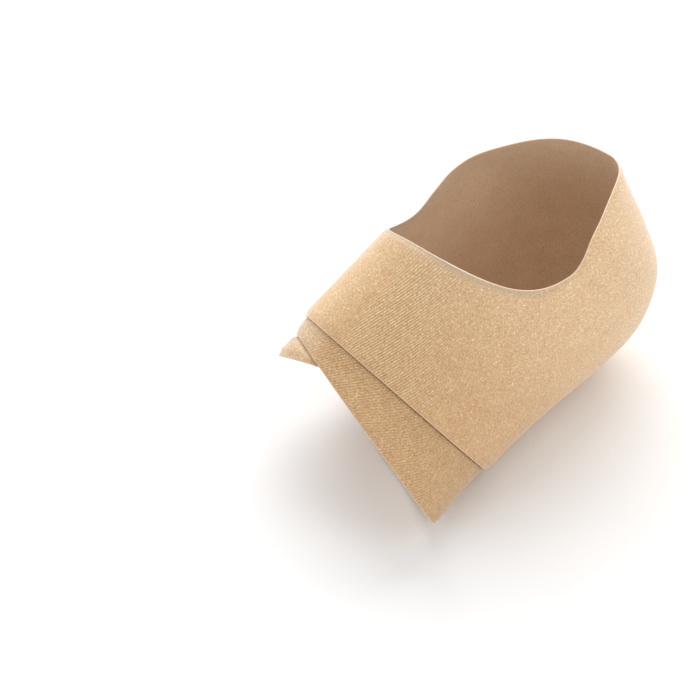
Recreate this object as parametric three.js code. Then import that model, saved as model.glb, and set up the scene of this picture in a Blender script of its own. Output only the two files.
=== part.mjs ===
// Tarsal support wrap for a left foot, in its worn shape.
// A band is wound about the midfoot, and a stretch heel sleeve is pulled on over it.
// Millimetres. +X points towards the toes, +Y to the outer side of the foot, +Z up.
// The origin is the foot's seat: on the sleeve's inner face, under the ankle.
import * as THREE from "three";

// Cloth thicknesses and the gap kept between layers
const SLEEVE_WALL = 1.1;
const BAND_WALL = 1.0;
const TAB_WALL = 1.0;
const LAYER_GAP = 0.3;

// Depth of each layer's outer face below the sleeve's outer face
const OUTER_TURN_DEPTH = SLEEVE_WALL + LAYER_GAP;
const INNER_TURN_DEPTH = OUTER_TURN_DEPTH + BAND_WALL + LAYER_GAP;
const TAB_DEPTH = INNER_TURN_DEPTH - LAYER_GAP - TAB_WALL;

// The foot's seat, measured from the back of the heel and the sole's outer face
const FOOT_SEAT = new THREE.Vector3(60, 0, SLEEVE_WALL);

// Sections of the sleeve's outer face, from the midfoot round the heel to the ankle.
// topX, topZ, soleX and soleZ are the two ends of a section in its middle plane.
// ridge is how far that plane lies to the outer side.
// waist is the share of the height, from the sole, where the section is widest.
// lateral and medial are the reach to the outer and inner side of the foot.
// The four powers shape the quarters: 2 is an ellipse, and more is squarer.
const SECTION_COLUMNS = [
  "topX", "topZ", "soleX", "soleZ", "ridge", "waist", "lateral", "medial",
  "topLateralPower", "soleLateralPower", "soleMedialPower", "topMedialPower",
];
const SECTIONS = [
  [164, 51, 144, 0, -8, 0.36, 50.5, 43, 1.9, 3.1, 2.4, 2.75],
  [150, 55.5, 122, 0, -9, 0.35, 43.5, 39, 1.9, 2.9, 2.2, 2.6],
  [140, 62, 100, 0, -10, 0.35, 38.5, 40, 1.9, 2.8, 2.0, 2.7],
  [126, 72, 78, 0, -8, 0.38, 35, 39, 2.0, 2.7, 2.0, 2.7],
  [115, 80, 54, 0, -6, 0.42, 33, 38, 2.0, 2.5, 2.2, 2.7],
  [109, 86, 30, 2, -3, 0.45, 32.5, 37, 2.0, 2.3, 2.3, 2.7],
  [105, 90, 11, 14, 0, 0.47, 34, 36, 2.1, 2.3, 2.3, 2.7],
  [102, 94, 3, 36, 3, 0.5, 35, 35, 2.1, 2.15, 2.2, 2.6],
  [100, 97, 9, 60, 4, 0.52, 34, 34, 2.1, 1.9, 1.9, 2.4],
  [98, 100, 18, 82, 5, 0.54, 30, 31, 2.1, 1.75, 1.8, 2.2],
  [96, 106, 24, 100, 5, 0.54, 26, 28, 2.1, 1.75, 1.8, 2.1],
];
const LAST_STATION = SECTIONS.length - 1;

// Station of the ankle collar at equal steps round the ring, from the front by the outer side
const COLLAR_STATIONS = [5.6, 6.0, 7.2, 8.4, 9.0, 9.4, 9.4, 9.4, 9.0, 8.4, 7.2, 5.3];

// Cut planes of the cloth edges: x = reach + sideLean y + upLean z
const SLEEVE_FRONT = { reach: 98.5, sideLean: 0.066, upLean: 0.7 };
const INNER_TURN_FRONT = { reach: 85.5, sideLean: -0.39, upLean: 1.085 };
const INNER_TURN_BACK = { reach: 38, sideLean: -0.39, upLean: 1.085 };
const OUTER_TURN_FRONT = { reach: 123, sideLean: 0.25, upLean: 0.51 };
const OUTER_TURN_BACK = { reach: 81, sideLean: 0.25, upLean: 0.51 };
const FURTHEST_CUT_STATION = 6;

// Winding of the band in degrees: it starts on the outer side of the instep,
// goes over the ridge, down the inner side, under the sole and round again.
const BAND_START_ANGLE = 50;
const BAND_WOUND = 470;
const EDGE_SHIFT = { from: 90, to: 250 };
const DEPTH_SHIFT = { from: 170, to: 300 };

// Ahead of the outer turn the inner turn is bare. It bulges there, and its cut edge rolls back in.
// The rise is measured from the outer turn's front edge, and the roll from the inner turn's own.
const BULGE = 1.3;
const BULGE_RISE = { from: 0.3, to: 2 };
const ROLL_SHARE = 0.7;
const ROLL_REACH = { from: 0, to: 3 };

// The hook tab follows the band's outer end, on the part of its width that the sleeve covers
const TAB_END_GAP = 1;
const TAB_WOUND = 34;
const TAB_ACROSS = { from: 0.46, to: 0.94 };

// Facets
const ANGLE_STEP = 5;
const SLEEVE_ROWS = 26;
const BAND_ROWS = 9;
const BARE_ROWS = 3;
const BARE_SHARE = { min: 0.12, max: 0.5 };
const TAB_ROWS = 4;

// Small steps for slopes, and halvings when an edge is searched for
const SLOPE_STATION = 0.001;
const SLOPE_ANGLE = 0.06;
const EDGE_HALVINGS = 40;

// Finish
const SLEEVE_COLOR = 0xd9b68f;
const BAND_COLOR = 0xcba77d;
const TAB_COLOR = 0xbf9d78;
const CLOTH_ROUGHNESS = 0.75;

function catmullRom(before, from, to, after, share) {
  const linear = to - before;
  const square = 2 * before - 5 * from + 4 * to - after;
  const cube = 3 * (from - to) + after - before;
  return from + 0.5 * share * (linear + share * (square + share * cube));
}

function smoothShare(value, { from, to }) {
  return THREE.MathUtils.smoothstep(value, from, to);
}

// The section at a station, each column on a smooth curve through the rows
function sectionAt(station) {
  const at = THREE.MathUtils.clamp(station, 0, LAST_STATION);
  const row = Math.min(Math.floor(at), LAST_STATION - 1);
  const section = {};
  SECTION_COLUMNS.forEach((name, column) => {
    const from = SECTIONS[row][column];
    const to = SECTIONS[row + 1][column];
    const before = row > 0 ? SECTIONS[row - 1][column] : 2 * from - to;
    const after = row + 2 <= LAST_STATION ? SECTIONS[row + 2][column] : 2 * to - from;
    section[name] = catmullRom(before, from, to, after, at - row);
  });
  return section;
}

// A point of the sleeve's outer face.
// Angle 0 is the ridge of the instep, 90 the outer side, 180 the sole or heel, 270 the inner side.
function formPoint(station, angle) {
  const section = sectionAt(station);
  const across = Math.sin(THREE.MathUtils.degToRad(angle));
  const along = Math.cos(THREE.MathUtils.degToRad(angle));
  const rise = new THREE.Vector2(section.topX - section.soleX, section.topZ - section.soleZ);
  const height = rise.length();
  const lateral = across >= 0;
  const top = along >= 0;
  const reach = lateral ? section.lateral - section.ridge : section.medial + section.ridge;
  const upright = top ? height * (1 - section.waist) : height * section.waist;
  const topPower = lateral ? section.topLateralPower : section.topMedialPower;
  const solePower = lateral ? section.soleLateralPower : section.soleMedialPower;
  const power = top ? topPower : solePower;
  const sum = (Math.abs(across) / reach) ** power + (Math.abs(along) / upright) ** power;
  const radius = sum ** (-1 / power);
  const climb = section.waist + (radius * along) / height;
  return new THREE.Vector3(
    section.soleX + rise.x * climb,
    section.ridge + radius * across,
    section.soleZ + rise.y * climb,
  );
}

function formNormal(station, angle) {
  const around = formPoint(station, angle + SLOPE_ANGLE).sub(formPoint(station, angle - SLOPE_ANGLE));
  const along = formPoint(station + SLOPE_STATION, angle).sub(formPoint(station - SLOPE_STATION, angle));
  return around.cross(along).normalize();
}

function layerPoint(station, angle, depth) {
  return formPoint(station, angle).addScaledVector(formNormal(station, angle), -depth);
}

// The station where the form at an angle crosses a cut plane
function stationOnPlane(angle, { reach, sideLean, upLean }) {
  let ahead = 0;
  let behind = FURTHEST_CUT_STATION;
  for (let halving = 0; halving < EDGE_HALVINGS; halving += 1) {
    const middle = (ahead + behind) / 2;
    const point = formPoint(middle, angle);
    if (point.x > reach + sideLean * point.y + upLean * point.z) ahead = middle;
    else behind = middle;
  }
  return (ahead + behind) / 2;
}

function collarStation(angle) {
  const count = COLLAR_STATIONS.length;
  const at = (THREE.MathUtils.euclideanModulo(angle, 360) / 360) * count;
  const step = Math.floor(at);
  const value = (offset) => COLLAR_STATIONS[(step + offset + count) % count];
  return catmullRom(value(-1), value(0), value(1), value(2), at - step);
}

// A closed cloth wall from a grid of outer and inner points.
// pointsAt(column, row) gives { outer, inner }. Columns run with growing angle, rows towards the ankle.
function clothWall(columns, rows, isRing, pointsAt) {
  const columnCount = isRing ? columns : columns + 1;
  const positions = [];
  for (let column = 0; column < columnCount; column += 1) {
    for (let row = 0; row <= rows; row += 1) {
      const { outer, inner } = pointsAt(column, row);
      positions.push(...outer.toArray(), ...inner.toArray());
    }
  }
  const outerAt = (column, row) => 2 * ((column % columnCount) * (rows + 1) + row);
  const innerAt = (column, row) => outerAt(column, row) + 1;
  const triangles = [];
  const quad = (a, b, c, d) => triangles.push(a, b, c, a, c, d);
  for (let column = 0; column < columns; column += 1) {
    const next = column + 1;
    for (let row = 0; row < rows; row += 1) {
      quad(outerAt(column, row), outerAt(next, row), outerAt(next, row + 1), outerAt(column, row + 1));
      quad(innerAt(column, row), innerAt(column, row + 1), innerAt(next, row + 1), innerAt(next, row));
    }
    quad(outerAt(next, 0), outerAt(column, 0), innerAt(column, 0), innerAt(next, 0));
    quad(outerAt(column, rows), outerAt(next, rows), innerAt(next, rows), innerAt(column, rows));
  }
  for (let row = 0; row < rows && !isRing; row += 1) {
    const next = row + 1;
    quad(outerAt(0, row), outerAt(0, next), innerAt(0, next), innerAt(0, row));
    quad(outerAt(columns, next), outerAt(columns, row), innerAt(columns, row), innerAt(columns, next));
  }
  const geometry = new THREE.BufferGeometry();
  geometry.setAttribute("position", new THREE.Float32BufferAttribute(positions, 3));
  geometry.setIndex(triangles);
  geometry.computeVertexNormals();
  return geometry;
}

// The heel sleeve: a bent tube from the slanted front edge to the ankle collar
function sleeveGeometry() {
  const columns = 360 / ANGLE_STEP;
  return clothWall(columns, SLEEVE_ROWS, true, (column, row) => {
    const angle = column * ANGLE_STEP;
    const front = stationOnPlane(angle, SLEEVE_FRONT);
    const station = THREE.MathUtils.lerp(front, collarStation(angle), row / SLEEVE_ROWS);
    return {
      outer: formPoint(station, angle),
      inner: layerPoint(station, angle, SLEEVE_WALL),
    };
  });
}

// The band's two edges at a winding angle, blended from the inner turn's cut to the outer turn's
function bandEdges(wound) {
  const angle = BAND_START_ANGLE - wound;
  const share = smoothShare(wound, EDGE_SHIFT);
  const edge = (inner, outer) =>
    THREE.MathUtils.lerp(stationOnPlane(angle, inner), stationOnPlane(angle, outer), share);
  return {
    angle,
    front: edge(INNER_TURN_FRONT, OUTER_TURN_FRONT),
    back: edge(INNER_TURN_BACK, OUTER_TURN_BACK),
  };
}

// Place of a row across the band: the first rows share the bare part, the rest what is covered
function bandRowShare(row, bareShare) {
  if (row <= BARE_ROWS) return (bareShare * row) / BARE_ROWS;
  return THREE.MathUtils.lerp(bareShare, 1, (row - BARE_ROWS) / (BAND_ROWS - BARE_ROWS));
}

// How far the inner turn's bare part stands out from its layer
function bandBulge(station, angle, front, outerFront) {
  const ahead = formPoint(station + SLOPE_STATION, angle);
  const length = ahead.distanceTo(formPoint(station - SLOPE_STATION, angle)) / (2 * SLOPE_STATION);
  const rise = smoothShare((outerFront - station) * length, BULGE_RISE);
  const roll = ROLL_SHARE * (1 - smoothShare((station - front) * length, ROLL_REACH));
  return BULGE * rise * (1 - roll);
}

// One strip from the inner turn out to the outer turn, listed from its outer end
function bandGeometry() {
  const columns = BAND_WOUND / ANGLE_STEP;
  return clothWall(columns, BAND_ROWS, false, (column, row) => {
    const wound = BAND_WOUND - column * ANGLE_STEP;
    const { angle, front, back } = bandEdges(wound);
    const outerFront = stationOnPlane(angle, OUTER_TURN_FRONT);
    const bare = (outerFront - front) / (back - front);
    const bareShare = THREE.MathUtils.clamp(bare, BARE_SHARE.min, BARE_SHARE.max);
    const station = THREE.MathUtils.lerp(front, back, bandRowShare(row, bareShare));
    const turnShare = smoothShare(wound, DEPTH_SHIFT);
    const layer = THREE.MathUtils.lerp(INNER_TURN_DEPTH, OUTER_TURN_DEPTH, turnShare);
    const depth = layer - bandBulge(station, angle, front, outerFront);
    return {
      outer: layerPoint(station, angle, depth),
      inner: layerPoint(station, angle, depth + BAND_WALL),
    };
  });
}

// A plain hook patch sewn to the band's outer end, lying on the inner turn under the sleeve
function tabGeometry() {
  const columns = Math.round(TAB_WOUND / ANGLE_STEP);
  return clothWall(columns, TAB_ROWS, false, (column, row) => {
    const wound = BAND_WOUND + TAB_END_GAP + TAB_WOUND * (1 - column / columns);
    const { angle, front, back } = bandEdges(wound);
    const share = THREE.MathUtils.lerp(TAB_ACROSS.from, TAB_ACROSS.to, row / TAB_ROWS);
    const station = THREE.MathUtils.lerp(front, back, share);
    return {
      outer: layerPoint(station, angle, TAB_DEPTH),
      inner: layerPoint(station, angle, TAB_DEPTH + TAB_WALL),
    };
  });
}

function clothPiece(name, geometry, color) {
  const material = new THREE.MeshStandardMaterial({ color, roughness: CLOTH_ROUGHNESS, metalness: 0 });
  const piece = new THREE.Mesh(geometry, material);
  piece.name = name;
  return piece;
}

const wornShape = new THREE.Group();
wornShape.position.copy(FOOT_SEAT).negate();
wornShape.add(clothPiece("heel_sleeve", sleeveGeometry(), SLEEVE_COLOR));
wornShape.add(clothPiece("arch_band", bandGeometry(), BAND_COLOR));
wornShape.add(clothPiece("hook_tab", tabGeometry(), TAB_COLOR));

const supportWrap = new THREE.Group();
supportWrap.add(wornShape);

export default supportWrap;
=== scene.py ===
"""Tarsal support wrap for a left foot, in its worn shape: knit cloth, studio stage and camera.

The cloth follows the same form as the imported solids. Lengths below are millimetres unless a name
says otherwise, and the meshes are made in metres.
"""

import math

import bpy
import numpy as np
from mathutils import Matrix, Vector


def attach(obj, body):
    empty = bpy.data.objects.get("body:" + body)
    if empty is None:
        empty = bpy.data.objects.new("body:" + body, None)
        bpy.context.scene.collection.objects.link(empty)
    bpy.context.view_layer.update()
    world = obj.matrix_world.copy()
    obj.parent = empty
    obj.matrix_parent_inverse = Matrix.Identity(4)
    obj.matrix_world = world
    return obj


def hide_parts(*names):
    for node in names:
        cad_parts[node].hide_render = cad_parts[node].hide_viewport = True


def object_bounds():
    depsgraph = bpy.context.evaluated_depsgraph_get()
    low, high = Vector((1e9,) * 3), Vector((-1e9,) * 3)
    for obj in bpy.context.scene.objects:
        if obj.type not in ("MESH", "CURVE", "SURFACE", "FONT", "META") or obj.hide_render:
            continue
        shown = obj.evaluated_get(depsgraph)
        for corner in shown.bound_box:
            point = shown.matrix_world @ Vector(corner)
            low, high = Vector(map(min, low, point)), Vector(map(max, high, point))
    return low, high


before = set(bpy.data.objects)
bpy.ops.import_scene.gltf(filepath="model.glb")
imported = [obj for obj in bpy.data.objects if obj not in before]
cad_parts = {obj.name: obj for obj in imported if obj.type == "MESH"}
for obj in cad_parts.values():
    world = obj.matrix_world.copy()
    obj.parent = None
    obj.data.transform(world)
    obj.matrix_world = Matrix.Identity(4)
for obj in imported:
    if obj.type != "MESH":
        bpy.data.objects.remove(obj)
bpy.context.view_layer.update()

METRES = 0.001

# Cloth thicknesses and the gap kept between layers
SLEEVE_WALL = 1.1
BAND_WALL = 1.0
TAB_WALL = 1.0
LAYER_GAP = 0.3

# Depth of each layer's outer face below the sleeve's outer face
OUTER_TURN_DEPTH = SLEEVE_WALL + LAYER_GAP
INNER_TURN_DEPTH = OUTER_TURN_DEPTH + BAND_WALL + LAYER_GAP
TAB_DEPTH = INNER_TURN_DEPTH - LAYER_GAP - TAB_WALL

# The foot's seat, measured from the back of the heel and the sole's outer face
FOOT_SEAT = np.array([60.0, 0.0, SLEEVE_WALL])

# Sections of the sleeve's outer face, from the midfoot round the heel to the ankle.
# top and sole are the two ends of a section in its middle plane, and ridge is that plane's y.
# waist is the share of the height where the section is widest.
# lateral and medial are the reach to each side, and the four powers shape the quarters.
SECTION_COLUMNS = (
    "top_x", "top_z", "sole_x", "sole_z", "ridge", "waist", "lateral", "medial",
    "top_lateral_power", "sole_lateral_power", "sole_medial_power", "top_medial_power",
)
SECTIONS = np.array([
    [164, 51, 144, 0, -8, 0.36, 50.5, 43, 1.9, 3.1, 2.4, 2.75],
    [150, 55.5, 122, 0, -9, 0.35, 43.5, 39, 1.9, 2.9, 2.2, 2.6],
    [140, 62, 100, 0, -10, 0.35, 38.5, 40, 1.9, 2.8, 2.0, 2.7],
    [126, 72, 78, 0, -8, 0.38, 35, 39, 2.0, 2.7, 2.0, 2.7],
    [115, 80, 54, 0, -6, 0.42, 33, 38, 2.0, 2.5, 2.2, 2.7],
    [109, 86, 30, 2, -3, 0.45, 32.5, 37, 2.0, 2.3, 2.3, 2.7],
    [105, 90, 11, 14, 0, 0.47, 34, 36, 2.1, 2.3, 2.3, 2.7],
    [102, 94, 3, 36, 3, 0.5, 35, 35, 2.1, 2.15, 2.2, 2.6],
    [100, 97, 9, 60, 4, 0.52, 34, 34, 2.1, 1.9, 1.9, 2.4],
    [98, 100, 18, 82, 5, 0.54, 30, 31, 2.1, 1.75, 1.8, 2.2],
    [96, 106, 24, 100, 5, 0.54, 26, 28, 2.1, 1.75, 1.8, 2.1],
])
LAST_STATION = len(SECTIONS) - 1

# Station of the ankle collar at equal steps round the ring, from the front by the outer side
COLLAR_STATIONS = np.array([5.6, 6.0, 7.2, 8.4, 9.0, 9.4, 9.4, 9.4, 9.0, 8.4, 7.2, 5.3])

# Cut planes of the cloth edges: x = reach + side_lean y + up_lean z
SLEEVE_FRONT = {"reach": 98.5, "side_lean": 0.066, "up_lean": 0.7}
INNER_TURN_FRONT = {"reach": 85.5, "side_lean": -0.39, "up_lean": 1.085}
INNER_TURN_BACK = {"reach": 38, "side_lean": -0.39, "up_lean": 1.085}
OUTER_TURN_FRONT = {"reach": 123, "side_lean": 0.25, "up_lean": 0.51}
OUTER_TURN_BACK = {"reach": 81, "side_lean": 0.25, "up_lean": 0.51}
FURTHEST_CUT_STATION = 6.0

# Winding of the band in degrees, from its inner end on the outer side of the instep
BAND_START_ANGLE = 50.0
BAND_WOUND = 470.0
EDGE_SHIFT = (90.0, 250.0)
DEPTH_SHIFT = (170.0, 300.0)

# Ahead of the outer turn the inner turn is bare. It bulges there, and its cut edge rolls back in.
# The rise is measured from the outer turn's front edge, and the roll from the inner turn's own.
BULGE = 1.3
BULGE_RISE = (0.3, 2.0)
ROLL_SHARE = 0.7
ROLL_REACH = (0.0, 3.0)

# Every cloth thins towards its cut edges: by how much, and over what distance
EDGE_THINNING = 0.5
THINNING_REACH = (0.0, 2.5)

# The hook tab follows the band's outer end, on a part of its width
TAB_END_GAP = 1.0
TAB_WOUND = 34.0
TAB_ACROSS = (0.46, 0.94)

# Mesh steps: degrees between columns, rows across each cloth, segments round a cut edge
ANGLE_STEP = 1.0
SLEEVE_ROWS = 96
BAND_ROWS = 44
TAB_ROWS = 18
RIM_SEGMENTS = 8
SEAM_ANGLE = 180.0

# Segments of a cut edge from the outer to the inner face: cloth, hem and lining at the back,
# border, cut core and lining at the front
BACK_EDGE_SEGMENTS = (1, 4, 3)
FRONT_EDGE_SEGMENTS = (2, 4, 2)

# Material slots of a cloth: its outer face, cut core, inner face, front border and back hem
FACE_SLOT, CUT_SLOT, LINING_SLOT, BORDER_SLOT, HEM_SLOT = range(5)

# Small steps for slopes, and halvings when an edge is searched for
SLOPE_STATION = 0.001
SLOPE_ANGLE = 0.06
EDGE_HALVINGS = 40

# Knit of each piece: pitch of the ribs, their lean from square to the front edge in degrees, and the
# share of their relief where they are closed.
# Over the instep the ribs open from one range of angles to another, which moves with the station,
# and their colour contrast there is partly painted shade of light raking across them.
# far_side is where they open on the inner side of the foot: starts, is full, fades and ends.
# There they close again between two stations.
SLEEVE_KNIT = {
    "pitch": 0.93, "lean": 21, "closed": 0.12,
    "open_from": (-5, 8), "open_to": (-6, 24), "open_slope": 12, "far_side": (-130, -85, -55, -32),
}
BAND_KNIT = {
    "pitch": 1.0, "lean": 29, "closed": 0.62,
    "open_from": (-14, 2), "open_to": (8, 44), "open_slope": 0, "far_side": (-150, -110, -80, -55),
}
RIB_OPEN_STATION = 5.0
FAR_SIDE_STATIONS = (2.6, 4.4)

# Ribs wander by a share of the pitch, break into dashes of a length, and swell into beads
RIB_WANDER = 0.2
RIB_WANDER_SCALE = 130.0
DASH_LENGTH = 1.3
DASH_REACH = 1.5
BEAD_REACH = 3.0

# Speckle, mottling, painted glints and cut fibres, as features in each metre
GRAIN_SCALE = 1450.0
CLOUD_SCALE = 160.0
GLINT_SCALE = 950.0
FIBRE_SCALE = 2200.0

# Share of the cells that hold no painted glint, and the reach of a glint in its cell
GLINT_RARITY = 0.66
GLINT_REACH = 0.32

# Hooks of the hook fabric in each millimetre, and how far they stray from even rows
HOOK_DENSITY = 0.8
HOOK_STRAY = 0.25

# Middle of a noise and of the yarn colours, and places of colours along their ramps
MIDDLE = 0.5
YARN_STOPS = (0.0, MIDDLE, 1.0)
TINT_STOPS = (0.0, 1.0)
FIBRE_STOPS = (0.3, 0.7)
HOOK_STOPS = (0.3, 0.9)

# Relief of the fabrics, with distances in metres, and the share of it that the ribs have
KNIT_RELIEF = {"Strength": 0.4, "Distance": 0.00012}
FIBRE_RELIEF = {"Strength": 0.3, "Distance": 0.0001}
HOOK_RELIEF = {"Strength": 0.6, "Distance": 0.0003}
RIB_RELIEF_SHARE = 0.5

# The cloth is painted paler towards the heel by station, and over the ridge of the instep, in degrees
# round where that starts, is full, fades and ends: painted sheen. Away from both, the front of the
# instep is painted darker and redder as painted shade.
PALER_STATIONS = (1.9, 6.0)
PALER_RIDGE = (-110, -60, -13, 2)

# The collar's edge is palest at the front, and the cloth beside it is greyer over millimetres from it.
# The angles are degrees round where each starts, is full, fades and ends.
PALE_COLLAR_ANGLES = (-70, -20, 10, 34)
GREY_HEM_ANGLES = (-70, -20, 35, 75)
GREY_HEM_REACH = (0.3, 4.0)
GREY_HEM = (0.5, 0.41, 0.31)
GREY_HEM_SHARE = 0.5

# Camera, in the row's frame
CAMERA_AZIMUTH = math.radians(139)
CAMERA_ELEVATION = math.radians(41)
CAMERA_DISTANCE = 1250.0
CAMERA_TARGET = np.array([124.0, -19.5, 40.0]) - FOOT_SEAT
CAMERA_LENS = 180.6
CAMERA_SENSOR = 36.0
CAMERA_REACH_M = 100.0

# Softboxes: degrees round and up, metres away, metres wide, and watts
SOFTBOXES = {
    "back": (319, 45, 1.2, 1.5, 13.5),
    "right": (190, 45, 1.2, 0.8, 2.3),
    "left": (59, 12, 1.2, 0.8, 1.0),
}
WORLD_STRENGTH = 0.68

# Floor: metres from its middle to an edge, grains in each metre and the two pale greys between them
FLOOR_REACH_M = 8.0
FLOOR_GRAIN_SCALE = 40.0
FLOOR_GREYS = ((0.93, 0.93, 0.93), (0.96, 0.96, 0.96))


# Form of the foot, shared by every layer

def catmull_rom(before, start, end, after, share):
    linear = end - before
    square = 2 * before - 5 * start + 4 * end - after
    cube = 3 * (start - end) + after - before
    return start + 0.5 * share * (linear + share * (square + share * cube))


def smooth_share(value, limits):
    share = np.clip((value - limits[0]) / (limits[1] - limits[0]), 0, 1)
    return share * share * (3 - 2 * share)


def lerp(start, end, share):
    return start + (end - start) * share


def unit(vectors):
    return vectors / np.linalg.norm(vectors, axis=-1, keepdims=True)


def dot(first, second):
    return np.sum(first * second, axis=-1)


def section_at(station):
    at = np.clip(station, 0, LAST_STATION)
    row = np.minimum(at.astype(int), LAST_STATION - 1)
    start = SECTIONS[row]
    end = SECTIONS[row + 1]
    before = np.where((row > 0)[..., None], SECTIONS[np.maximum(row - 1, 0)], 2 * start - end)
    has_after = (row + 2 <= LAST_STATION)[..., None]
    after = np.where(has_after, SECTIONS[np.minimum(row + 2, LAST_STATION)], 2 * end - start)
    values = catmull_rom(before, start, end, after, (at - row)[..., None])
    return {name: values[..., column] for column, name in enumerate(SECTION_COLUMNS)}


def form_point(station, angle):
    """A point of the sleeve's outer face. Angle 0 is the ridge, 90 the outer side, 180 the sole."""
    section = section_at(station)
    across = np.sin(np.radians(angle))
    along = np.cos(np.radians(angle))
    rise_x = section["top_x"] - section["sole_x"]
    rise_z = section["top_z"] - section["sole_z"]
    height = np.hypot(rise_x, rise_z)
    lateral = across >= 0
    top = along >= 0
    reach = np.where(lateral, section["lateral"] - section["ridge"], section["medial"] + section["ridge"])
    upright = np.where(top, height * (1 - section["waist"]), height * section["waist"])
    top_power = np.where(lateral, section["top_lateral_power"], section["top_medial_power"])
    sole_power = np.where(lateral, section["sole_lateral_power"], section["sole_medial_power"])
    power = np.where(top, top_power, sole_power)
    total = (np.abs(across) / reach) ** power + (np.abs(along) / upright) ** power
    radius = total ** (-1 / power)
    climb = section["waist"] + radius * along / height
    x = section["sole_x"] + rise_x * climb
    y = section["ridge"] + radius * across
    z = section["sole_z"] + rise_z * climb
    return np.stack([x, y, z], axis=-1) - FOOT_SEAT


def slope_round(station, angle):
    ahead = form_point(station, angle + SLOPE_ANGLE)
    return (ahead - form_point(station, angle - SLOPE_ANGLE)) / (2 * SLOPE_ANGLE)


def slope_along(station, angle):
    ahead = form_point(station + SLOPE_STATION, angle)
    return (ahead - form_point(station - SLOPE_STATION, angle)) / (2 * SLOPE_STATION)


def form_normal(station, angle):
    return unit(np.cross(slope_round(station, angle), slope_along(station, angle)))


def layer_point(station, angle, depth):
    return form_point(station, angle) - form_normal(station, angle) * np.asarray(depth)[..., None]


def station_on_plane(angle, plane):
    ahead = np.zeros_like(angle)
    behind = np.full_like(angle, FURTHEST_CUT_STATION)
    for _ in range(EDGE_HALVINGS):
        middle = (ahead + behind) / 2
        point = form_point(middle, angle) + FOOT_SEAT
        limit = plane["reach"] + plane["side_lean"] * point[:, 1] + plane["up_lean"] * point[:, 2]
        is_ahead = point[:, 0] > limit
        ahead = np.where(is_ahead, middle, ahead)
        behind = np.where(is_ahead, behind, middle)
    return (ahead + behind) / 2


def collar_station(angle):
    count = len(COLLAR_STATIONS)
    at = np.mod(angle, 360) / 360 * count
    step = np.floor(at).astype(int)
    before, start, end, after = (COLLAR_STATIONS[(step + offset) % count] for offset in (-1, 0, 1, 2))
    return catmull_rom(before, start, end, after, at - step)


# Cloth meshes

def edge_inset(station, angle, wall):
    """Half the wall as a step in station, so that a round cut edge ends where the cut plane is."""
    return wall / 2 / np.linalg.norm(slope_along(station, angle), axis=-1)


def rim_points(station, angle, depth, wall, outward):
    """A half-round cut edge from the outer to the inner face, without its two ends."""
    normal = form_normal(station, angle)
    out = unit(slope_along(station, angle)) * outward
    middle = layer_point(station, angle, depth + wall / 2)
    turns = np.linspace(0, math.pi, RIM_SEGMENTS + 1)[1:-1]
    rows = [middle + wall / 2 * (math.cos(turn) * normal + math.sin(turn) * out) for turn in turns]
    return np.stack(rows, axis=1)


def knit_coordinates(points, lean):
    """Millimetres across and along the ribs, from a grid of columns by rows on the outer face."""
    edge_steps = np.linalg.norm(np.diff(points[:, 0], axis=0), axis=-1)
    round_edge = np.concatenate([[0.0], np.cumsum(edge_steps)])
    tangent = unit(np.gradient(points, axis=0))
    steps = np.diff(points, axis=1)
    sideways = dot(steps, tangent[:, :-1])
    square = np.sqrt(np.maximum(dot(steps, steps) - sideways ** 2, 0))
    start = np.zeros((len(points), 1))
    along_edge = round_edge[:, None] + np.concatenate([start, np.cumsum(sideways, axis=1)], axis=1)
    from_edge = np.concatenate([start, np.cumsum(square, axis=1)], axis=1)
    across = along_edge * math.cos(lean) - from_edge * math.sin(lean)
    along = along_edge * math.sin(lean) + from_edge * math.cos(lean)
    return np.stack([across, along], axis=-1)


def signed_angle(angle):
    return np.mod(angle + 180, 360) - 180


def share_between(angle, limits):
    """Share of a finish that starts, is full, fades and ends at four angles round the ring."""
    signed = signed_angle(angle)
    starts, full, fades, ends = limits
    return smooth_share(signed, (starts, full)) * (1 - smooth_share(signed, (fades, ends)))


def rib_opening_and_shade(station, angle, knit):
    """Share of the rib relief and of the ribs' painted shade that shows, from closed cloth to the open
    ribs over the instep.
    """
    signed = signed_angle(angle)
    slope = knit["open_slope"] * (RIB_OPEN_STATION - station)
    far = tuple(limit + slope for limit in knit["open_to"])
    start = smooth_share(signed, knit["open_from"])
    end = 1 - np.clip((signed - far[0]) / (far[1] - far[0]), 0, 1)
    far_side = share_between(angle, knit["far_side"]) * (1 - smooth_share(station, FAR_SIDE_STATIONS))
    opened = np.maximum(start * end, far_side)
    return lerp(knit["closed"], 1.0, opened)


# Share of the painted sheen: 1 towards the heel and over the ridge, 0 on the front of the instep, which
# is painted as shade
def painted_sheen_share(station, angle):
    painted_front_shade = (1 - smooth_share(station, PALER_STATIONS)) * (1 - share_between(angle, PALER_RIDGE))
    return 1 - painted_front_shade


def hem_greyness(angle, from_collar):
    """Share of the greyer cloth, which fades round the ring and away from the collar."""
    return share_between(angle, GREY_HEM_ANGLES) * (1 - smooth_share(from_collar, GREY_HEM_REACH))


def round_profile(values):
    """Values of the outer face's rows, carried round the whole profile."""
    back_edge = np.repeat(values[:, -1:], RIM_SEGMENTS - 1, axis=1)
    front_edge = np.repeat(values[:, :1], RIM_SEGMENTS - 1, axis=1)
    return np.concatenate([values, back_edge, values[:, ::-1], front_edge], axis=1)


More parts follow.
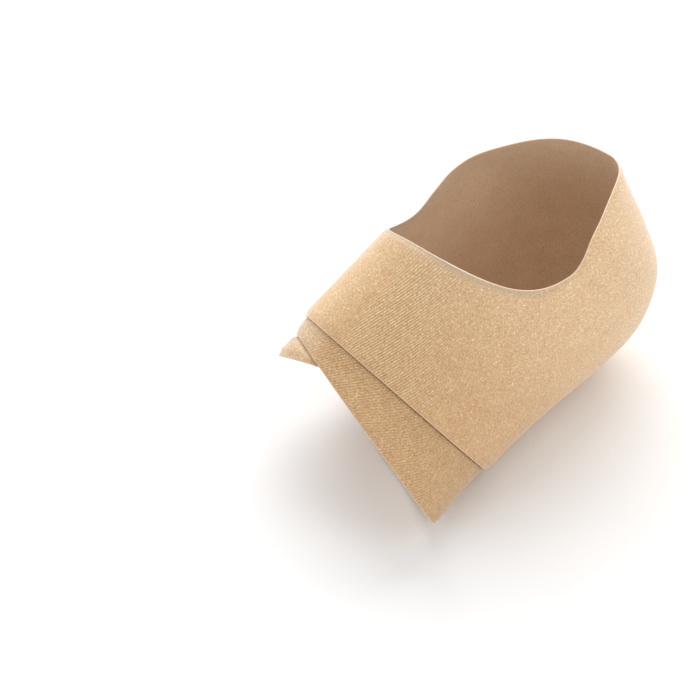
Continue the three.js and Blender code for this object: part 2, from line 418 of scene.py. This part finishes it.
def cloth_mesh(name, angle, front, back, depth_at, wall, rows, knit, is_ring):
    """A closed cloth wall with round cut edges.

    angle, front and back have a value for each column, by growing angle.
    depth_at gives the outer face's depth at a grid of stations, columns by rows.
    knit is the row of knit values that the piece's ribs follow.
    A ring's last column is the first one again, and its points are shared.
    """
    edge_wall = wall - EDGE_THINNING
    first = front + edge_inset(front, angle, edge_wall)
    last = back - edge_inset(back, angle, edge_wall)
    station = lerp(first[:, None], last[:, None], np.linspace(0, 1, rows + 1))
    angles = np.broadcast_to(angle[:, None], station.shape)
    stride = np.linalg.norm(slope_along(station, angles), axis=-1)
    from_front = (station - first[:, None]) * stride
    from_back = (last[:, None] - station) * stride
    from_edge = np.minimum(from_front, from_back)
    thinning = EDGE_THINNING * (1 - smooth_share(from_edge, THINNING_REACH))
    depths = depth_at(station)
    outer = layer_point(station, angles, depths + thinning)
    inner = layer_point(station, angles, depths + wall)
    back_rim = rim_points(last, angle, depths[:, -1] + EDGE_THINNING, edge_wall, 1)
    front_rim = rim_points(first, angle, depths[:, 0] + EDGE_THINNING, edge_wall, -1)
    profiles = np.concatenate([outer, back_rim, inner[:, ::-1], front_rim[:, ::-1]], axis=1)
    knit_place = knit_coordinates(outer, math.radians(knit["lean"]))
    shares = {
        "rib_opening_and_shade": rib_opening_and_shade(station, angles, knit),
        "painted_sheen": painted_sheen_share(station, angles),
        "collar_pale": share_between(angles, PALE_COLLAR_ANGLES),
        "hem_grey": hem_greyness(angles, from_back),
    }
    return profile_mesh(name, profiles, rows, knit_place, shares, is_ring)


def profile_mesh(name, profiles, rows, knit_place, shares, is_ring):
    """A mesh through closed profiles, one for each column, with flat ends unless it is a ring.

    knit_place becomes its UV map and shares its point attributes. Both are given on the outer face.
    """
    columns, length = profiles.shape[:2]
    point_columns = columns - 1 if is_ring else columns
    column = np.arange(columns - 1)[:, None]
    place = np.arange(length)[None, :]
    after = (place + 1) % length
    corners = [(column, place), (column + 1, place), (column + 1, after), (column, after)]
    faces = np.stack([(at % point_columns) * length + row for at, row in corners], axis=-1)
    polygons = faces.reshape(-1, 4).tolist()
    caps = [] if is_ring else end_caps(rows, length, columns)

    mesh = bpy.data.meshes.new(name)
    points = profiles[:point_columns].reshape(-1, 3) * METRES
    mesh.from_pydata(points.tolist(), [], polygons + caps)
    slots = np.tile(profile_slots(rows), columns - 1)
    cap_slots = np.full(len(caps), CUT_SLOT)
    mesh.polygons.foreach_set("material_index", np.concatenate([slots, cap_slots]))
    mesh.polygons.foreach_set("use_smooth", [True] * len(polygons) + [False] * len(caps))

    knit_round = round_profile(knit_place)
    uv = np.stack([knit_round[at, row] for at, row in corners], axis=2)
    cap_corners = sum(len(cap) for cap in caps)
    layer = mesh.uv_layers.new(name="knit")
    layer.uv.foreach_set("vector", np.concatenate([uv.ravel(), np.zeros(2 * cap_corners)]))
    for share_name, values in shares.items():
        attribute = mesh.attributes.new(share_name, "FLOAT", "POINT")
        attribute.data.foreach_set("value", round_profile(values)[:point_columns].ravel())
    mesh.update()
    mesh.validate()
    return mesh


def profile_slots(rows):
    """Material slot of each face round the profile: outer face, back edge, lining, front edge."""
    face, hem, lining = BACK_EDGE_SEGMENTS
    back_edge = [FACE_SLOT] * face + [HEM_SLOT] * hem + [LINING_SLOT] * lining
    border, cut, lining = FRONT_EDGE_SEGMENTS
    front_edge = [LINING_SLOT] * lining + [CUT_SLOT] * cut + [BORDER_SLOT] * border
    return np.array([FACE_SLOT] * rows + back_edge + [LINING_SLOT] * rows + front_edge)


def end_caps(rows, length, columns):
    """Flat ends of an open strip: a row of four-sided faces and a half disc at each edge."""
    rim_count = RIM_SEGMENTS - 1
    inner_last = rows + 1 + rim_count
    caps = []
    for column, is_last in ((0, False), (columns - 1, True)):
        base = column * length
        ring = []
        for row in range(rows):
            facing = inner_last + rows - row
            ring.append([row, row + 1, facing - 1, facing])
        ring.append(list(range(rows, inner_last + 1)))
        ring.append(list(range(inner_last + rows, length)) + [0])
        for cap in ring:
            numbers = [base + number for number in cap]
            caps.append(numbers[::-1] if is_last else numbers)
    return caps


def add_object(name, mesh, materials):
    piece = bpy.data.objects.new(name, mesh)
    for material in materials:
        mesh.materials.append(material)
    bpy.context.scene.collection.objects.link(piece)
    return piece


def growing_angles(start, span):
    steps = round(span / ANGLE_STEP)
    return start + np.linspace(0, span, steps + 1)


def sleeve_mesh():
    angle = growing_angles(SEAM_ANGLE, 360)
    front = station_on_plane(angle, SLEEVE_FRONT)
    back = collar_station(angle)
    return cloth_mesh(
        "heel_sleeve_cloth", angle, front, back, np.zeros_like,
        SLEEVE_WALL, SLEEVE_ROWS, SLEEVE_KNIT, is_ring=True,
    )


def band_edges(wound):
    """Angle and front and back station of the band, at degrees from its inner end."""
    angle = BAND_START_ANGLE - wound
    share = smooth_share(wound, EDGE_SHIFT)
    inner_front = station_on_plane(angle, INNER_TURN_FRONT)
    outer_front = station_on_plane(angle, OUTER_TURN_FRONT)
    inner_back = station_on_plane(angle, INNER_TURN_BACK)
    outer_back = station_on_plane(angle, OUTER_TURN_BACK)
    return angle, lerp(inner_front, outer_front, share), lerp(inner_back, outer_back, share)


def band_mesh():
    wound = BAND_WOUND - growing_angles(0, BAND_WOUND)
    angle, front, back = band_edges(wound)
    layer = lerp(INNER_TURN_DEPTH, OUTER_TURN_DEPTH, smooth_share(wound, DEPTH_SHIFT))
    outer_front = station_on_plane(angle, OUTER_TURN_FRONT)

    def depth_at(station):
        angles = np.broadcast_to(angle[:, None], station.shape)
        stride = np.linalg.norm(slope_along(station, angles), axis=-1)
        rise = smooth_share((outer_front[:, None] - station) * stride, BULGE_RISE)
        roll = ROLL_SHARE * (1 - smooth_share((station - front[:, None]) * stride, ROLL_REACH))
        return layer[:, None] - BULGE * rise * (1 - roll)

    return cloth_mesh(
        "arch_band_cloth", angle, front, back, depth_at,
        BAND_WALL, BAND_ROWS, BAND_KNIT, is_ring=False,
    )


def tab_mesh():
    wound = BAND_WOUND + TAB_END_GAP + TAB_WOUND - growing_angles(0, TAB_WOUND)
    angle, front, back = band_edges(wound)
    tab_front = lerp(front, back, TAB_ACROSS[0])
    tab_back = lerp(front, back, TAB_ACROSS[1])

    def depth_at(station):
        return np.full_like(station, TAB_DEPTH)

    return cloth_mesh(
        "hook_tab_cloth", angle, tab_front, tab_back, depth_at,
        TAB_WALL, TAB_ROWS, BAND_KNIT, is_ring=False,
    )


# Materials

class Nodes:
    """A short way to add shader nodes and join them."""

    def __init__(self, name):
        self.material = bpy.data.materials.new(name)
        self.material.use_nodes = True
        self.tree = self.material.node_tree
        self.shader = self.tree.nodes["Principled BSDF"]

    def add(self, kind, inputs=(), **settings):
        node = self.tree.nodes.new(kind)
        for name, value in settings.items():
            setattr(node, name, value)
        for socket, value in dict(inputs).items():
            self.put(node.inputs[socket], value)
        return node

    def put(self, socket, value):
        if isinstance(value, bpy.types.NodeSocket):
            self.tree.links.new(value, socket)
        else:
            socket.default_value = value

    def math(self, operation, *values):
        return self.add("ShaderNodeMath", enumerate(values), operation=operation).outputs[0]

    def place(self):
        return self.add("ShaderNodeTexCoord").outputs["Object"]

    def knit_place(self):
        return self.add("ShaderNodeUVMap", uv_map="knit").outputs["UV"]

    def attribute(self, name):
        return self.add("ShaderNodeAttribute", attribute_name=name).outputs["Fac"]

    def mix(self, share, first, second, blend="MIX"):
        inputs = {"Fac": share, "Color1": first, "Color2": second}
        return self.add("ShaderNodeMixRGB", inputs, blend_type=blend).outputs["Color"]

    def ramp(self, share, stops):
        node = self.add("ShaderNodeValToRGB", {"Fac": share})
        stops = list(stops)
        elements = node.color_ramp.elements
        while len(elements) < len(stops):
            elements.new(MIDDLE)
        for element, (place, colour) in zip(elements, stops):
            element.position = place
            element.color = (*colour, 1)
        return node.outputs["Color"]

    def noise(self, vector, scale, detail=2.0):
        node = self.add("ShaderNodeTexNoise", {"Vector": vector, "Scale": scale, "Detail": detail})
        return node.outputs["Fac"]

    def centred_noise(self, vector, scale, detail):
        return self.math("SUBTRACT", self.noise(vector, scale, detail), MIDDLE)

    def bump(self, height, relief):
        return self.add("ShaderNodeBump", {**relief, "Height": height}).outputs["Normal"]

    def set_shader(self, **values):
        for name, value in values.items():
            self.put(self.shader.inputs[name.replace("_", " ")], value)


def knit_material(name, knit, colours, tints, rib, speckle, mottle, glint):
    """Satin rib knit: ribs broken into dashes, fine speckle, soft mottling and bright painted glints,
    where single stitches catch the light.

    colours are dark, middle and light, and tints are the painted shade of the front of the instep and the
    untinted colour where painted sheen pales the heel and the ridge.
    """
    n = Nodes(name)
    place = n.place()
    parts = n.add("ShaderNodeSeparateXYZ", {0: n.knit_place()})
    opening_and_shade = n.attribute("rib_opening_and_shade")

    wander = n.math("MULTIPLY_ADD", n.noise(place, RIB_WANDER_SCALE), 2 * RIB_WANDER, -RIB_WANDER)
    rib_number = n.math("ADD", n.math("DIVIDE", parts.outputs["X"], knit["pitch"]), wander)
    rib_wave = n.math("SINE", n.math("MULTIPLY", rib_number, 2 * math.pi))
    stitch_number = n.math("DIVIDE", parts.outputs["Y"], DASH_LENGTH)
    dash_place = n.add("ShaderNodeCombineXYZ", {0: rib_number, 1: stitch_number}).outputs[0]
    dash = n.centred_noise(dash_place, 1.0, detail=1.0)
    grain = n.centred_noise(place, GRAIN_SCALE, detail=2.0)
    cloud = n.centred_noise(place, CLOUD_SCALE, detail=3.0)
    # Painted glints: bright spots in a share of the cells, standing in for stitches catching the light
    cells = n.add("ShaderNodeTexVoronoi", {"Vector": place, "Scale": GLINT_SCALE})
    chance = n.add("ShaderNodeSeparateColor", {0: cells.outputs["Color"]}).outputs[0]
    chosen = n.math("GREATER_THAN", chance, GLINT_RARITY)
    reach = {"Value": cells.outputs["Distance"], "From Max": GLINT_REACH, "To Min": 1.0, "To Max": 0.0}
    near = n.add("ShaderNodeMapRange", reach).outputs["Result"]
    painted_glint = n.math("MULTIPLY", chosen, near)

    bead = n.math("MULTIPLY_ADD", dash, BEAD_REACH, 1.0)
    rib_wave = n.math("MULTIPLY", rib_wave, bead)
    # Rib colour contrast: the knit's ribs, partly painted shade of light raking across them
    shade = n.math("MULTIPLY_ADD", rib_wave, n.math("MULTIPLY", opening_and_shade, rib), MIDDLE)
    shade = n.math("MULTIPLY_ADD", dash, n.math("MULTIPLY", opening_and_shade, DASH_REACH * rib), shade)
    shade = n.math("MULTIPLY_ADD", grain, speckle, shade)
    shade = n.math("MULTIPLY_ADD", cloud, mottle, shade)
    shade = n.math("MULTIPLY_ADD", painted_glint, glint, shade)
    yarn = n.ramp(shade, zip(YARN_STOPS, colours))
    # Painted light: the tint darkens the front of the instep as shade and leaves the heel and ridge paler
    # as sheen
    tint = n.ramp(n.attribute("painted_sheen"), zip(TINT_STOPS, tints))
    sheen_tinted = n.mix(1.0, yarn, tint, "MULTIPLY")
    grey = n.math("MULTIPLY", n.attribute("hem_grey"), GREY_HEM_SHARE)
    colour = n.mix(grey, sheen_tinted, (*GREY_HEM, 1))

    rib_height = n.math("MULTIPLY", opening_and_shade, RIB_RELIEF_SHARE)
    height = n.math("MULTIPLY_ADD", rib_wave, rib_height, MIDDLE)
    height = n.math("ADD", height, grain)
    n.set_shader(
        Base_Color=colour,
        Normal=n.bump(height, KNIT_RELIEF),
        Roughness=0.58,
        Specular_IOR_Level=0.5,
        Sheen_Weight=0.45,
        Sheen_Roughness=0.45,
        Sheen_Tint=(1.0, 0.95, 0.88, 1.0),
    )
    return n.material


def cut_edge_material(name, colours, pale_colours=None, sheen=0.2, specular=0.5):
    """Fibres of the bonded cloth along a cut edge, in the given colours; the sleeve's dark front edge
    colours are painted shadow.

    pale_colours, where they are given, are for the palest part of the collar.
    """
    n = Nodes(name)
    fibres = n.noise(n.place(), FIBRE_SCALE, detail=3.0)
    colour = n.ramp(fibres, zip(FIBRE_STOPS, colours))
    if pale_colours:
        pale = n.ramp(fibres, zip(FIBRE_STOPS, pale_colours))
        colour = n.mix(n.attribute("collar_pale"), colour, pale)
    n.set_shader(
        Base_Color=colour,
        Normal=n.bump(fibres, FIBRE_RELIEF),
        Roughness=0.85,
        Specular_IOR_Level=specular,
        Sheen_Weight=sheen,
    )
    return n.material


def hook_material(name, dark, light):
    """Hook fabric: close rows of small blunt hooks, with the low ground between them painted darker as
    shade.
    """
    n = Nodes(name)
    rows = {"Vector": n.knit_place(), "Scale": HOOK_DENSITY, "Randomness": HOOK_STRAY}
    cells = n.add("ShaderNodeTexVoronoi", rows)
    hook_height = n.math("SUBTRACT", 1.0, cells.outputs["Distance"])
    # Painted shade: darker where the hooks are low
    colour = n.ramp(hook_height, zip(HOOK_STOPS, (dark, light)))
    n.set_shader(Base_Color=colour, Normal=n.bump(hook_height, HOOK_RELIEF), Roughness=0.8)
    return n.material


def floor_material():
    """Plain pale studio floor with a faint roller grain."""
    n = Nodes("studio_floor")
    grain = n.noise(n.place(), FLOOR_GRAIN_SCALE)
    colour = n.ramp(grain, zip(TINT_STOPS, FLOOR_GREYS))
    n.set_shader(Base_Color=colour, Roughness=0.9)
    return n.material


# Each knit's first tint is painted shade for the front of the instep
sleeve_knit = knit_material(
    "sleeve_cloth", SLEEVE_KNIT,
    colours=[(0.36, 0.197, 0.08), (0.755, 0.49, 0.267), (1.0, 0.93, 0.6)],
    tints=[(0.87, 0.795, 0.72), (1.0, 1.0, 1.0)],
    rib=0.21, speckle=0.85, mottle=0.16, glint=0.62,
)
band_knit = knit_material(
    "band_cloth", BAND_KNIT,
    colours=[(0.325, 0.188, 0.08), (0.685, 0.465, 0.27), (1.0, 0.88, 0.58)],
    tints=[(0.82, 0.715, 0.575), (1.0, 1.0, 1.0)],
    rib=0.13, speckle=0.95, mottle=0.2, glint=0.55,
)
lining = knit_material(
    "lining_cloth", SLEEVE_KNIT,
    colours=[(0.45, 0.29, 0.16), (0.7, 0.51, 0.34), (0.92, 0.76, 0.58)],
    tints=[(0.96, 0.94, 0.92), (1.0, 1.0, 1.0)],
    rib=0.1, speckle=0.55, mottle=0.25, glint=0.15,
)
# Painted shadow: the sleeve's front cut edge is dark brown and without gloss, standing in for the shadow
# line under that edge
sleeve_edge_painted_shadow = cut_edge_material(
    "sleeve_cut_edge_painted_shadow",
    colours=[(0.15, 0.07, 0.018), (0.22, 0.11, 0.03)],
    sheen=0.0, specular=0.1,
)
band_edge = cut_edge_material("band_cut_edge", [(0.6, 0.42, 0.27), (0.76, 0.58, 0.42)])
sleeve_border = cut_edge_material("sleeve_border", [(0.84, 0.6, 0.42), (0.92, 0.7, 0.53)])
collar_edge = cut_edge_material(
    "collar_edge",
    colours=[(0.86, 0.6, 0.42), (0.94, 0.7, 0.53)],
    pale_colours=[(0.97, 0.84, 0.67), (0.99, 0.92, 0.79)],
)
hook_patch = hook_material("hook_cloth", (0.3, 0.19, 0.11), (0.6, 0.43, 0.28))

# Pieces

sleeve_materials = [sleeve_knit, sleeve_edge_painted_shadow, lining, sleeve_border, collar_edge]
sleeve = add_object("heel_sleeve_knit", sleeve_mesh(), sleeve_materials)
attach(sleeve, "root")
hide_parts("heel_sleeve")

band = add_object("arch_band_knit", band_mesh(), [band_knit, band_edge, lining, band_edge, band_edge])
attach(band, "root")
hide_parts("arch_band")

tab = add_object("hook_tab_patch", tab_mesh(), [hook_patch, band_edge, hook_patch, band_edge, band_edge])
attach(tab, "root")
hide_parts("hook_tab")

# Stage, light and camera

def toward(azimuth, elevation):
    """Unit vector from the object to a place round it, with azimuth 0 in front of -Y."""
    level = math.cos(elevation)
    return Vector((math.sin(azimuth) * level, -math.cos(azimuth) * level, math.sin(elevation)))


def add_floor():
    reach = FLOOR_REACH_M
    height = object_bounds()[0].z
    sides = [(-reach, -reach), (reach, -reach), (reach, reach), (-reach, reach)]
    corners = [(x, y, height) for x, y in sides]
    mesh = bpy.data.meshes.new("studio_floor")
    mesh.from_pydata(corners, [], [(0, 1, 2, 3)])
    floor = add_object("studio_floor", mesh, [floor_material()])


def add_softbox(name, azimuth, elevation, distance, size, power):
    data = bpy.data.lights.new(name, "AREA")
    data.shape = "DISK"
    data.size = size
    data.energy = power
    lamp = bpy.data.objects.new(name, data)
    direction = toward(math.radians(azimuth), math.radians(elevation))
    lamp.location = direction * distance
    lamp.rotation_mode = "QUATERNION"
    lamp.rotation_quaternion = direction.to_track_quat("Z", "Y")
    bpy.context.scene.collection.objects.link(lamp)


def add_world(strength):
    world = bpy.data.worlds.new("studio")
    world.use_nodes = True
    background = world.node_tree.nodes["Background"]
    background.inputs["Color"].default_value = (1, 1, 1, 1)
    background.inputs["Strength"].default_value = strength
    bpy.context.scene.world = world


def add_camera():
    data = bpy.data.cameras.new("camera")
    data.lens = CAMERA_LENS
    data.sensor_width = CAMERA_SENSOR
    data.clip_end = CAMERA_REACH_M
    camera = bpy.data.objects.new("camera", data)
    back = toward(CAMERA_AZIMUTH, CAMERA_ELEVATION)
    camera.location = Vector(CAMERA_TARGET * METRES) + back * CAMERA_DISTANCE * METRES
    camera.rotation_mode = "QUATERNION"
    camera.rotation_quaternion = back.to_track_quat("Z", "Y")
    bpy.context.scene.collection.objects.link(camera)
    bpy.context.scene.camera = camera


add_floor()
add_world(WORLD_STRENGTH)
for softbox, values in SOFTBOXES.items():
    add_softbox(softbox, *values)
add_camera()
bpy.context.scene.view_settings.view_transform = "Standard"
